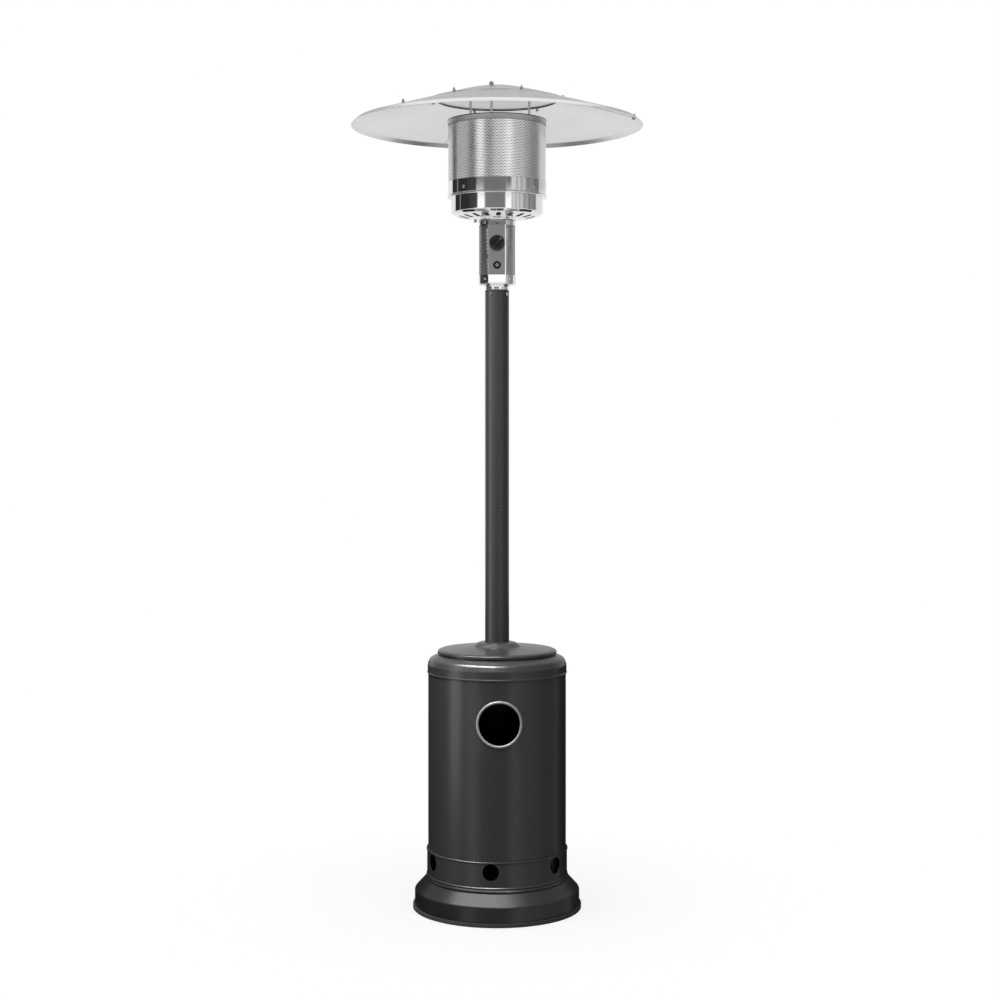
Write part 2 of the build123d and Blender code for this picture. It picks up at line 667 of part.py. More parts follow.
def reflector_fasteners():
    """Bolts with their heads underneath and their tips standing above the reflector, and nuts."""
    grip = 1.5 * SHEET + 0.6
    bolts = [hex_bolt(point, way, 8, 3.5, 2.5, 13) for point, way in reflector_places(-grip)]
    return group(bolts + [hex_nut(point, way) for point, way in reflector_places(grip)])


def reflector_studs():
    """Three long studs that hold the reflector, with nuts over and under the cap and the crown."""
    studs = [rod(at(STUD_R, b, CAP_TOP - 8), at(STUD_R, b, 2244.5), 3.25) for b in STUD_BEARINGS]
    seats = ((CAP_TOP + GAP, 1), (CAP_TOP - SHEET - GAP, -1), (2236, 1), (2229, -1))
    return group(studs + [hex_nut(at(STUD_R, b, z), (0, 0, way), 11, 5, 3.3)
                          for b in STUD_BEARINGS for z, way in seats])


# ------------------------------------------------------------------ all nodes
NODES = {
    "base_pan": base_pan, "base_edge_trim": base_edge_trim, "vent_band": vent_band,
    "leg_fasteners": leg_fasteners,
    "post_carrier_plate": post_carrier_plate, "lower_post": lower_post, "upper_post": upper_post,
    "post_sleeve": post_sleeve, "post_fasteners": post_fasteners, "post_joint_screws": post_joint_screws,
    "tank_housing": tank_housing, "housing_front": housing_front, "hand_hole_ring": hand_hole_ring,
    "housing_lid": housing_lid, "lid_screws": lid_screws,
    "head_neck": head_neck, "post_top_screws": post_top_screws, "lower_collar": lower_collar,
    "upper_collar": upper_collar, "collar_screws": collar_screws, "mesh_cover": mesh_cover,
    "front_panel": front_panel, "gas_valve": gas_valve, "valve_plug": valve_plug,
    "valve_spindle": valve_spindle, "safety_magnet": safety_magnet, "control_knob": control_knob,
    "gas_inlet_fitting": gas_inlet_fitting, "igniter_body": igniter_body,
    "igniter_bezel": igniter_bezel, "igniter_nut": igniter_nut, "igniter_button": igniter_button,
    "tilt_switch": tilt_switch, "tilt_switch_bracket": tilt_switch_bracket,
    "feed_pipe": feed_pipe, "injector": injector, "injector_bracket": injector_bracket,
    "burner_bowl": burner_bowl, "upper_ring": upper_ring,
    "burner_screws": burner_screws, "burner_deck": burner_deck, "mixing_tube": mixing_tube,
    "burner_head": burner_head, "pilot_pipe": pilot_pipe, "pilot_burner": pilot_burner,
    "thermocouple": thermocouple, "ignition_lead": ignition_lead,
    "spark_electrode": spark_electrode, "pilot_bracket": pilot_bracket,
    "emitter_screen": emitter_screen, "emitter_cap": emitter_cap,
    "reflector_crown": reflector_crown, "reflector_fasteners": reflector_fasteners,
    "reflector_studs": reflector_studs,
}


def build():
    """Every node by name."""
    made = {name: make() for name, make in NODES.items()}
    for number, bearing in enumerate(LEG_BEARINGS, 1):
        made[f"support_leg_{number}"] = support_leg(bearing)
    for number, seam in enumerate(SEAMS, 1):
        made[f"reflector_panel_{number}"] = reflector_panel(seam)
    return made


os.makedirs("parts", exist_ok=True)
for node, shape in build().items():
    export_step(shape, f"parts/{node}.step")
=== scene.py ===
# %% [markdown]
# # Gas patio heater
# The heater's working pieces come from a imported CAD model, which is the fixed frame.
# This lesson gives them their finishes, and models again, by hand, the pieces whose
# looks need more than the CAD model holds: the perforated sheets, the drum with its
# hand hole, the control panel with its knob and button, and the emitter's lid.

# %% Load the frame
import json
from math import atan2, cos, pi, radians, sin

import bpy
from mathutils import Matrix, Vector


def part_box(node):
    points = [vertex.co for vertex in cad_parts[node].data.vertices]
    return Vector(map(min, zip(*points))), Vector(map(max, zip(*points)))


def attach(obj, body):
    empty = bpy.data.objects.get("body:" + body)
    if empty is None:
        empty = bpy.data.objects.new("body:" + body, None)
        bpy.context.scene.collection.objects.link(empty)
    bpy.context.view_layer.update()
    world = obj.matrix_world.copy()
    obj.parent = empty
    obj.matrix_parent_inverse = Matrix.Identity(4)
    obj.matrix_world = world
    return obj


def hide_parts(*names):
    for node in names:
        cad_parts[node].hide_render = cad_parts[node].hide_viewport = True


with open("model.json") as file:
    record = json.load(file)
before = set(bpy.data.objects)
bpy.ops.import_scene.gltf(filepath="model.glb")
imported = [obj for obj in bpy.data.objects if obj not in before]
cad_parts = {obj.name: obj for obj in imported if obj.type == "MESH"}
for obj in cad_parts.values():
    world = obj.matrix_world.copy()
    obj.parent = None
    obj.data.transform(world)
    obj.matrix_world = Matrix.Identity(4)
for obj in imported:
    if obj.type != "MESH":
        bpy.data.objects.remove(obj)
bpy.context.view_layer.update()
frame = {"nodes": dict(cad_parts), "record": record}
nodes = frame["nodes"]
MM = 0.001

# %% [markdown]
# ## Camera
# The heater is seen level from about five metres, with a long lens, so that its
# upright lines stay upright. The lens is shifted a little instead of tilted, because
# a tilted camera would make the post lean.

# %% Camera
CAMERA_AWAY = 4.98
CAMERA_HEIGHT = 1.305
CAMERA_ASIDE = 0.008
camera_data = bpy.data.cameras.new("camera")
camera = bpy.data.objects.new("camera", camera_data)
bpy.context.scene.collection.objects.link(camera)
bpy.context.scene.camera = camera
camera.location = (CAMERA_ASIDE, -CAMERA_AWAY, CAMERA_HEIGHT)
camera.rotation_euler = (pi / 2, 0, 0)
camera_data.sensor_width = 36
camera_data.lens = 65.3
camera_data.shift_y = -0.07
print("camera", tuple(camera.location))

# %% [markdown]
# ## Shader maths in Python
# A material is a network of nodes, and its arithmetic reads best as arithmetic.
# `Sock` wraps one socket and adds a Math node for each operator. `Paint.node` adds any
# other node: its settings come first, and then the values or links of its inputs.

# %% Socket class and material helper
class Sock:
    """One output socket that can be used in arithmetic."""

    def __init__(self, paint, socket):
        self.paint = paint
        self.socket = socket

    def math(self, operation, *others):
        return self.paint.node("Math", {"operation": operation}, self, *others)

    def __add__(self, other):
        return self.math("ADD", other)

    def __sub__(self, other):
        return self.math("SUBTRACT", other)

    def __mul__(self, other):
        return self.math("MULTIPLY", other)

    def __rsub__(self, other):
        return self.paint.node("Math", {"operation": "SUBTRACT"}, other, self)

    __radd__ = __add__
    __rmul__ = __mul__

    def above(self, edge, soft):
        """0 below the edge, 1 above it, with a soft step between."""
        settings = {"interpolation_type": "SMOOTHSTEP"}
        return self.paint.node("MapRange", settings, self, edge - soft, edge + soft, 0.0, 1.0)


class Paint:
    """A new material and the nodes in it."""

    def __init__(self, name, **sockets):
        self.material = bpy.data.materials.new(name)
        self.material.use_nodes = True
        self.tree = self.material.node_tree
        self.shader = self.tree.nodes["Principled BSDF"]
        for socket, value in sockets.items():
            self.shader.inputs[socket.replace("_", " ")].default_value = value

    def node(self, kind, settings=None, *values, out=0, **named):
        made = self.tree.nodes.new("ShaderNode" + kind)
        for key, value in (settings or {}).items():
            setattr(made, key, value)
        inputs = [i for i in made.inputs if i.enabled] if kind == "Mix" else made.inputs
        for place, value in enumerate(values):
            self.feed(inputs[place], value)
        for key, value in named.items():
            self.feed(made.inputs[key.replace("_", " ")], value)
        outputs = [o for o in made.outputs if o.enabled]
        return Sock(self, outputs[out])

    def feed(self, socket, value):
        if value is None:
            return
        if isinstance(value, Sock):
            self.tree.links.new(value.socket, socket)
        else:
            socket.default_value = value

    @staticmethod
    def ramp(ramp, stops):
        ramp.elements.remove(ramp.elements[1])
        ramp.elements[0].position, ramp.elements[0].color = stops[0]
        for place, colour in stops[1:]:
            ramp.elements.new(place).color = colour

    def place(self, scale=(1, 1, 1)):
        """Position on the piece, in metres, multiplied along each axis."""
        where = self.node("TexCoord", None, out=3)
        return self.node("VectorMath", {"operation": "MULTIPLY"}, where, scale)

    def noise(self, scale, detail=3.0, rough=0.5, stretch=(1, 1, 1)):
        return self.node("TexNoise", None, Vector=self.place(stretch), Scale=scale, Detail=detail,
                         Roughness=rough)

    def mix(self, share, first, second):
        return self.node("Mix", {"data_type": "RGBA"}, share, first, second)

    def bump(self, height, strength, distance):
        bump = self.node("Bump", None, Strength=strength, Distance=distance, Height=height)
        self.set(Normal=bump)

    def set(self, **links):
        for key, value in links.items():
            self.feed(self.shader.inputs[key.replace("_", " ")], value)
        return self


def grey(level, tint=(1.0, 1.0, 1.0)):
    """A grey of this level as a colour with alpha."""
    return (level * tint[0], level * tint[1], level * tint[2], 1.0)


print("shader helper ready")

# %% [markdown]
# ## Powder coat
# The base, housing, lid and post are coated in a charcoal powder paint. Powder melts
# into a skin with a very fine orange peel, so the coat is a dark rough surface with a
# tiny bump, a slightly uneven gloss and scattered paler specks.

# %% Powder coat
def powder_coat(name, level, rough):
    paint = Paint(name, Metallic=0.0, IOR=1.5, Specular_IOR_Level=0.32, Coat_Weight=0.12,
                  Coat_Roughness=0.2)
    peel = paint.noise(900, 2.0)
    cloud = paint.noise(3.5, 3.0)
    fleck = paint.noise(2600, 1.0)
    colour = paint.mix(cloud, grey(level * 0.9), grey(level * 1.12))
    colour = paint.mix(fleck.above(0.66, 0.05) * 0.35, colour, grey(level * 1.9))
    paint.set(Base_Color=colour, Roughness=rough + 0.05 * (cloud - 0.5) + 0.04 * (peel - 0.5))
    paint.bump(peel, 0.12, 0.0004)
    return paint.material


black_coat = powder_coat("charcoal_powder_coat", 0.0095, 0.34)
rim_grey = powder_coat("grey_rim_lacquer", 0.10, 0.3)
print("made", black_coat.name, rim_grey.name)

# %% [markdown]
# ## Bright metal
# Polished stainless steel is a mirror with faint polishing lines that run round the
# piece. The lines are noise that is squeezed along the height and long round the post.

# %% Polished, plain and satin metals
def metal(name, level, rough, lines, tint=(1.0, 1.0, 1.0), depth=0.0001):
    paint = Paint(name, Metallic=1.0)
    smear = paint.noise(14, 4.0)
    brush = paint.noise(60, 2.0, 0.6, (1, 1, lines))
    shade = paint.mix(smear, grey(level * 0.94, tint), grey(level, tint))
    paint.set(Base_Color=shade, Roughness=rough * (0.75 + 0.5 * smear))
    paint.bump(brush, 0.25, depth)
    return paint.material


polished_steel = metal("polished_stainless", 0.86, 0.045, 14, depth=0.00001)
screen_steel = metal("screen_stainless", 0.92, 0.27, 10, depth=0.00004)
panel_steel = metal("panel_stainless", 0.97, 0.18, 8, depth=0.00003)
cover_steel = metal("cover_stainless", 0.54, 0.36, 10, depth=0.00004)
lid_steel = metal("lid_stainless", 0.52, 0.3, 10, depth=0.00004)
# near-black warm steel: painted shade on the sheet inside the emitter, the lid's wired edge and the edge
# under the crown
shade_dark_steel = metal("heat_darkened_steel", 0.07, 0.5, 4, (1.0, 0.96, 0.92))
zinc = metal("zinc_plate", 0.62, 0.28, 3, depth=0.00005)
satin_aluminium = metal("satin_aluminium", 0.73, 0.30, 2, (0.99, 0.995, 1.0), depth=0.00005)
brass = metal("turned_brass", 0.75, 0.25, 20, (1.0, 0.78, 0.42))
print("metals ready")

# %% [markdown]
# ## Mouldings
# The knob, igniter ring and edge guard are moulded, so they are dark, dull and very
# finely grained. The ceramic sleeve is glazed and nearly white.

# %% Plastics, rubber and ceramic
def moulding(name, level, rough, grain=1500, depth=0.0002, tint=(1.0, 1.0, 1.0)):
    paint = Paint(name, Metallic=0.0, IOR=1.46)
    fine = paint.noise(grain, 2.0)
    broad = paint.noise(20, 2.0)
    paint.set(Base_Color=paint.mix(broad, grey(level * 0.85, tint), grey(level * 1.2, tint)))
    paint.set(Roughness=rough + 0.08 * (fine - 0.5))
    paint.bump(fine, 0.15, depth)
    return paint.material


black_plastic = moulding("black_plastic", 0.018, 0.3)
grey_plastic = moulding("grey_button", 0.30, 0.3)
edge_rubber = moulding("edge_rubber", 0.004, 0.7)
lead_rubber = moulding("lead_silicone", 0.05, 0.5)
ceramic = moulding("white_ceramic", 0.78, 0.16, 300, 0.0001, (1.0, 0.98, 0.94))
black_screw = metal("black_screw", 0.20, 0.3, 3)
print("mouldings ready")

# %% Finishes of the CAD pieces
FINISHES = {
    "black_coat": black_coat, "edge_trim": edge_rubber, "black_screws": black_screw,
    "polished_steel": polished_steel, "stainless": screen_steel, "zinc_steel": zinc,
    "reflector_aluminium": satin_aluminium, "black_plastic": black_plastic,
    "grey_button": grey_plastic, "brass": brass, "lead_rubber": lead_rubber,
    "white_ceramic": ceramic, "rim_grey": rim_grey,
}
for part in frame["record"]["subparts"]:
    mesh = nodes[part["node"]].data
    mesh.materials.clear()
    mesh.materials.append(FINISHES[part["material_slot"]])
print("finishes on", len(nodes), "nodes")

# %% [markdown]
# ## Helpers for hand-modelled pieces
# Each new piece starts from a primitive, is shaped in edit mode and finished with
# modifiers. An operator acts on everything that is selected, so each piece starts with
# nothing selected. A finished piece keeps its place in its mesh, and rides on a body.

# %% Helpers for new pieces
def start(add, name, **settings):
    """Adds one primitive with nothing else selected, and names it."""
    if bpy.context.object and bpy.context.object.mode != "OBJECT":
        bpy.ops.object.mode_set(mode="OBJECT")
    bpy.ops.object.select_all(action="DESELECT")
    add(**settings)
    piece = bpy.context.object
    piece.name = piece.data.name = name
    return piece


def modify(piece, kind, **settings):
    """Adds a modifier, sets it and applies it."""
    bpy.ops.object.select_all(action="DESELECT")
    bpy.context.view_layer.objects.active = piece
    piece.select_set(True)
    modifier = piece.modifiers.new(kind.lower(), kind)
    for key, value in settings.items():
        setattr(modifier, key, value)
    bpy.ops.object.modifier_apply(modifier=modifier.name)


def merge(piece, apart=0.00002):
    """Welds the points that lie together, and turns the faces outwards."""
    bpy.ops.object.select_all(action="DESELECT")
    bpy.context.view_layer.objects.active = piece
    piece.select_set(True)
    bpy.ops.object.mode_set(mode="EDIT")
    bpy.ops.mesh.select_all(action="SELECT")
    bpy.ops.mesh.remove_doubles(threshold=apart)
    bpy.ops.mesh.normals_make_consistent(inside=False)
    bpy.ops.object.mode_set(mode="OBJECT")


def settle(piece, body, slot, material, *stands_for, smooth=35):
    """Applies the piece's place, gives it its finish and lets it ride on its body."""
    bpy.ops.object.select_all(action="DESELECT")
    bpy.context.view_layer.objects.active = piece
    piece.select_set(True)
    bpy.ops.object.transform_apply(location=True, rotation=True, scale=True)
    if smooth:
        bpy.ops.object.shade_smooth_by_angle(angle=radians(smooth))
    piece.data.materials.clear()
    piece.data.materials.append(material)
    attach(piece, body)
    if stands_for:
        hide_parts(*stands_for)
    print(piece.name, len(piece.data.polygons), "faces")
    return piece


# %% Helpers for turned pieces and sheets
def pick(piece, test):
    """Enters edit mode with only the points that pass the test selected."""
    bpy.ops.object.mode_set(mode="EDIT")
    bpy.ops.mesh.select_mode(type="VERT")
    bpy.ops.mesh.select_all(action="DESELECT")
    bpy.ops.object.mode_set(mode="OBJECT")
    for point in piece.data.vertices:
        point.select = test(point.co)
    bpy.ops.object.mode_set(mode="EDIT")


def pull(*steps):
    """Extrudes the selected edges by each step in turn, and returns to object mode."""
    for step in steps:
        bpy.ops.mesh.extrude_region_move(TRANSFORM_OT_translate={"value": step})
    bpy.ops.object.mode_set(mode="OBJECT")


def lathe(name, profile, sides=96, **settings):
    """A circle extruded ring by ring along a profile of (radius, height) pairs."""
    (radius, height), *rest = profile
    piece = start(bpy.ops.mesh.primitive_circle_add, name, vertices=sides, radius=radius, **settings)
    bpy.ops.object.mode_set(mode="EDIT")
    bpy.ops.mesh.select_all(action="SELECT")
    bpy.ops.transform.translate(value=(0, 0, height), orient_type="LOCAL")
    for wider, higher in rest:
        lift = {"value": (0, 0, higher - height), "orient_type": "LOCAL"}
        bpy.ops.mesh.extrude_region_move(TRANSFORM_OT_translate=lift)
        share = wider / radius
        bpy.ops.transform.resize(value=(share, share, 1), orient_type="LOCAL")
        radius, height = wider, higher
    bpy.ops.object.mode_set(mode="OBJECT")
    merge(piece)
    return piece


def join(piece, *others):
    """Joins the other pieces into the first."""
    bpy.ops.object.select_all(action="DESELECT")
    for one in (piece, *others):
        one.select_set(True)
    bpy.context.view_layer.objects.active = piece
    bpy.ops.object.join()
    return piece


# %% [markdown]
# ## Perforated sheet
# The emitter screen and the wrap-round cover are stainless sheet with rows of small
# slots, each row half a slot along from the next. Cutting thousands of holes with
# booleans would be slow and rough. Instead one cell is modelled, a six-sided hole in a
# brick-shaped tile whose lower lip stands out a little, and arrays repeat it. The flat
# sheet is then rolled round the post, which a few lines of code do exactly.

# %% One cell and the rolled sheet
def slot_cell(name, wide, high, half_slot, half_high, lip):
    """A tile in the XZ plane with a six-sided slot; its lower lip stands out by lip."""
    cell = start(bpy.ops.mesh.primitive_circle_add, name, vertices=6, radius=1,
                 rotation=(pi / 2, 0, 0))
    bpy.ops.object.transform_apply(rotation=True)
    bpy.ops.object.mode_set(mode="EDIT")
    bpy.ops.mesh.select_all(action="SELECT")
    bpy.ops.mesh.extrude_region_move()
    bpy.ops.transform.resize(value=(2, 2, 2))
    bpy.ops.object.mode_set(mode="OBJECT")
    for point in cell.data.vertices:
        x, _, z = point.co
        across = 0 if abs(x) < 0.3 else (1 if x > 0 else -1)
        up = 1 if z > 0 else -1
        outer = point.co.length > 1.5
        if outer:
            point.co = (across * wide / 2, 0, up * high / 2)
        else:
            lift = half_high if across == 0 else half_high * 0.45
            point.co = (across * half_slot, 0.7 * lip if up > 0 else -lip, up * lift)
    return cell


def roll(piece, radius):
    """Rolls a sheet in the XZ plane round the post, with its face outwards."""
    for point in piece.data.vertices:
        angle = point.co.x / radius
        out = radius - point.co.y
        point.co = (out * sin(angle), -out * cos(angle), point.co.z)


def perforated_sheet(name, cell, across, up, wide, high, radius, low, thick):
    """Rows of cells rolled into a sheet whose middle is in front."""
    modify(cell, "ARRAY", count=across, use_relative_offset=False, use_constant_offset=True,
           constant_offset_displace=(wide, 0, 0))
    modify(cell, "ARRAY", count=2, use_relative_offset=False, use_constant_offset=True,
           constant_offset_displace=(wide / 2, 0, high))
    modify(cell, "ARRAY", count=up // 2, use_relative_offset=False, use_constant_offset=True,
           constant_offset_displace=(0, 0, 2 * high))
    for point in cell.data.vertices:
        point.co.x -= across * wide / 2
        point.co.z += low + high / 2
    roll(cell, radius)
    merge(cell)
    modify(cell, "SOLIDIFY", thickness=thick, offset=-1)
    cell.name = cell.data.name = name
    return cell


# %% Emitter screen
screen_low, screen_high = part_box("emitter_screen")
SCREEN_R = screen_high.x
SCREEN_COLUMNS = 76
SCREEN_ROWS = 46
slot_wide = 2 * pi * SCREEN_R / SCREEN_COLUMNS
slot_high = (screen_high.z - screen_low.z - 1 * MM) / SCREEN_ROWS
cell = slot_cell("screen_cell", slot_wide, slot_high, 0.40 * slot_wide, 0.19 * slot_high, 0.4 * MM)
screen = perforated_sheet("emitter_mesh", cell, SCREEN_COLUMNS, SCREEN_ROWS, slot_wide, slot_high,
                          SCREEN_R - 0.4 * MM, screen_low.z, 0.5 * MM)
settle(screen, "stand", "stainless", screen_steel, "emitter_screen", smooth=20)

# %% [markdown]
# ## Inside of the emitter
# A thin dark sheet just inside the screen is painted shade: it makes the slots read dark,
# as if the inside of the emitter lay in shade. It is made up, to keep light from behind
# from shining through the slots.

# %% Inner sheet of the emitter
LINER_GAP = 2.2 * MM
liner_r = SCREEN_R - LINER_GAP
painted_shade_sheet = lathe("emitter_liner", [(liner_r, screen_low.z), (liner_r, screen_high.z)], 96)
modify(painted_shade_sheet, "SOLIDIFY", thickness=0.4 * MM, offset=-1)
# the near-black sheet is painted shade seen through the slots
settle(painted_shade_sheet, "stand", "stainless", shade_dark_steel, "emitter_screen")

# %% [markdown]
# ## Wrap-round cover
# The cover goes round the valve's housing and leaves a gap in front for the panel. Its
# slots are plain, with no lip.

# %% Wrap-round cover
cover_low, cover_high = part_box("mesh_cover")
COVER_R = cover_high.x
COVER_GAP = radians(61)
COVER_SLOT = 0.33         # half of a slot as a share of its cell
cover_wide = 5.6 * MM
cover_columns = int((2 * pi - COVER_GAP) * COVER_R / cover_wide)
cover_high_step = 5 * MM
cover_rows = 32
cell = slot_cell("cover_cell", cover_wide, cover_high_step, COVER_SLOT * cover_wide,
                 COVER_SLOT * cover_high_step, 0)
cover = perforated_sheet("cover_mesh", cell, cover_columns, cover_rows, cover_wide, cover_high_step,
                         COVER_R - 0.4 * MM, cover_low.z + 2 * MM, 0.5 * MM)
for point in cover.data.vertices:
    point.co.x, point.co.y = -point.co.x, -point.co.y
settle(cover, "stand", "stainless", cover_steel, "mesh_cover", smooth=20)

# %% [markdown]
# ## Housing drum
# The drum starts flat, as a circle that becomes the rounded rim of the hand hole. Rings
# of faces lead from the rim to a square, the square grows into the whole sheet, and the
# sheet is rolled. Faces that follow the hole keep the highlights on the drum smooth.

# %% Drum with the rim of its hand hole
drum_low, drum_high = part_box("tank_housing")
ring_low, ring_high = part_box("hand_hole_ring")
DRUM_R = drum_high.x
HOLE = ((ring_low.x + ring_high.x) / 2, (ring_low.z + ring_high.z) / 2)
HOLE_R = (ring_high.z - ring_low.z) / 2
PATCH = 92 * MM
# distance out from the edge of the rim, and how far the rim stands out there
RIM = ((-3.5, -2.2), (-6.2, -1.6), (-7.5, 0.2), (-7.2, 2.0), (-6.0, 3.3), (-4.2, 3.8), (-2.4, 3.4),
       (-1.0, 2.2), (-0.3, 0.9), (-0.2, -0.1))
FLAT = ((-3.4, 0.0), (0.4, 0.0), (6.0, 0.0), (14.0, 0.0))


def round_the_hole(name, rings):
    """A circle in the flat sheet, extruded ring by ring; each ring is a distance and a height."""
    (far, out), *rest = rings
    sheet = start(bpy.ops.mesh.primitive_circle_add, name, vertices=64, radius=HOLE_R + far * MM,
                  rotation=(pi / 2, 0, 0), location=(HOLE[0], -out * MM, HOLE[1]))
    bpy.ops.object.transform_apply(location=True, rotation=True)
    pick(sheet, lambda place: True)
    before = HOLE_R + far * MM
    for far, rise in rest:
        after = HOLE_R + far * MM
        bpy.ops.mesh.extrude_region_move(TRANSFORM_OT_translate={"value": (0, (out - rise) * MM, 0)})
        bpy.ops.transform.resize(value=(after / before, 1, after / before), orient_type="GLOBAL")
        before, out = after, rise
    return sheet


def drum():
    sheet = round_the_hole("housing_drum", FLAT)
    bpy.ops.mesh.extrude_region_move()
    bpy.ops.object.mode_set(mode="OBJECT")
    for point in sheet.data.vertices:
        if point.select:
            angle = atan2(point.co.z - HOLE[1], point.co.x - HOLE[0])
            far = PATCH / max(abs(cos(angle)), abs(sin(angle)))
            point.co = (HOLE[0] + far * cos(angle), 0, HOLE[1] + far * sin(angle))
    near = 0.1 * MM
    pick(sheet, lambda place: place.z > HOLE[1] + PATCH - near)
    pull((0, 0, drum_high.z - HOLE[1] - PATCH))
    pick(sheet, lambda place: place.z < HOLE[1] - PATCH + near)
    pull((0, 0, drum_low.z - HOLE[1] + PATCH))
    steps, around = 60, 2 * pi * DRUM_R - 2 * PATCH
    pick(sheet, lambda place: place.x > HOLE[0] + PATCH - near)
    pull(*[(around / steps, 0, 0)] * steps)
    roll(sheet, DRUM_R)
    merge(sheet)
    modify(sheet, "SOLIDIFY", thickness=1 * MM, offset=-1)
    return sheet


settle(drum(), "housing", "black_coat", black_coat, "tank_housing", "housing_front")
rim = round_the_hole("hand_hole_rim", RIM)
bpy.ops.object.mode_set(mode="OBJECT")
roll(rim, DRUM_R)
merge(rim)
modify(rim, "SOLIDIFY", thickness=0.7 * MM, offset=-1)
settle(rim, "housing", "rim_grey", rim_grey, "hand_hole_ring", smooth=60)

# %% [markdown]
# ## Control panel
# The panel is one folded sheet: a flat face, a narrow slanting border at each side that
# catches the light, and a flange behind. The knob has a fluted skirt and a slanting grip.

# %% Folded panel
panel_low, panel_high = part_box("front_panel")
knob_low, knob_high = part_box("control_knob")
bezel_low, bezel_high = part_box("igniter_bezel")
KNOB = ((knob_low.x + knob_high.x) / 2, (knob_low.z + knob_high.z) / 2)
IGNITER = ((bezel_low.x + bezel_high.x) / 2, (bezel_low.z + bezel_high.z) / 2)


def panel():
    half, border = panel_high.x + 1.8 * MM, 3.2 * MM
    tall = panel_high.z - panel_low.z
    sheet = start(bpy.ops.mesh.primitive_plane_add, "panel_sheet", size=1, rotation=(pi / 2, 0, 0),
                  location=(0, panel_low.y, panel_low.z + tall / 2))
    sheet.scale = (2 * (half - border), tall, 1)
    bpy.ops.object.transform_apply(location=True, rotation=True, scale=True)
    for side in (-1, 1):
        pick(sheet, lambda place: place.x * side > half - border - 0.1 * MM)
        pull((side * 2.7 * MM, 0.62 * MM, 0), (side * 0.4 * MM, 0.35 * MM, 0),
             (side * 0.1 * MM, 0.5 * MM, 0), (0, 6.2 * MM, 0))
    merge(sheet)
    modify(sheet, "SOLIDIFY", thickness=1.1 * MM, offset=-1)
    for name, (x, z), radius in (("knob_hole", KNOB, 5 * MM), ("igniter_hole", IGNITER, 8.3 * MM)):
        drill = start(bpy.ops.mesh.primitive_cylinder_add, name, vertices=48, radius=radius, depth=0.03,
                      rotation=(pi / 2, 0, 0), location=(x, panel_low.y, z))
        modify(sheet, "BOOLEAN", object=drill, operation="DIFFERENCE")
        bpy.data.objects.remove(drill)
    return sheet


settle(panel(), "stand", "polished_steel", panel_steel, "front_panel", smooth=12)

# %% Knob
TURNED = {"rotation": (pi / 2, 0, 0)}


def knob():
    radius = knob_high.x - KNOB[0]
    back, front, tip = knob_high.y, knob_low.y + 9 * MM, knob_low.y
    profile = [(8 * MM, 0), (radius - 0.8 * MM, 0), (radius, 0.6 * MM), (radius, 4.2 * MM),
               (radius - 0.7 * MM, 5.6 * MM), (radius - 2.0 * MM, 6.2 * MM), (radius - 3.2 * MM, 7.4 * MM),
               (radius - 5 * MM, 8.3 * MM), (radius - 9 * MM, back - front), (0.1 * MM, back - front)]
    skirt = lathe("knob_skirt", profile, 120, location=(KNOB[0], back, KNOB[1]), **TURNED)
    for point in skirt.data.vertices:
        flat = (point.co.x ** 2 + point.co.y ** 2) ** 0.5
        if flat > radius - 0.9 * MM:
            share = 1 - 0.022 * (0.5 + 0.5 * cos(24 * atan2(point.co.y, point.co.x)))
            point.co.x, point.co.y = point.co.x * share, point.co.y * share
    grip = start(bpy.ops.mesh.primitive_cube_add, "knob_grip", size=1,
                 location=(KNOB[0], (front + 1 * MM + tip) / 2, KNOB[1]), rotation=(0, radians(45), 0))
    grip.scale = (8.5 * MM, front + 1 * MM - tip, 2 * radius - 6 * MM)
    bpy.ops.object.transform_apply(location=False, rotation=False, scale=True)
    for point in grip.data.vertices:
        if point.co.y < 0:
            point.co.x *= 0.72
            point.co.z *= 0.9
    modify(grip, "BEVEL", width=1.6 * MM, segments=4)
    return join(skirt, grip)


settle(knob(), "knob", "black_plastic", black_plastic, "control_knob", smooth=40)

# %% White patch at the end of the knob's grip: a painted glint
# a small white patch where a glint shows at the end of the grip; it is a painted highlight
painted_glint = start(bpy.ops.mesh.primitive_cube_add, "knob_mark", size=1, rotation=(0, radians(45), 0),
             location=(KNOB[0] + 9.6 * MM, knob_low.y - 0.05 * MM, KNOB[1] + 9.6 * MM))
painted_glint.scale = (1.3 * MM, 0.5 * MM, 5.5 * MM)
settle(painted_glint, "knob", "grey_button", ceramic, smooth=0)

# %% Igniter
def turned(name, profile, place, sides=64):
    return lathe(name, [(r * MM, h * MM) for r, h in profile], sides, location=place, **TURNED)


ring_profile = [(5.8, 0.1), (10.4, 0.1), (11, 0.6), (11, 2.2), (10.4, 3.3), (9.2, 3.9), (8.0, 3.9),
                (6.6, 3.2), (5.8, 2.0), (5.8, 0.1)]
bezel = turned("igniter_ring", ring_profile, (IGNITER[0], panel_low.y, IGNITER[1]))
settle(bezel, "stand", "black_plastic", black_plastic, "igniter_bezel", smooth=50)
button_low, button_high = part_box("igniter_button")
long = (button_high.y - button_low.y) / MM
push_profile = [(0.05, 0), (5.0, 0), (5.0, long - 1.8), (4.6, long - 0.8), (3.6, long - 0.25),
                (2.0, long), (0.05, long)]
push = turned("igniter_push", push_profile, (IGNITER[0], button_high.y, IGNITER[1]))
settle(push, "igniter_button", "grey_button", grey_plastic, "igniter_button", smooth=50)
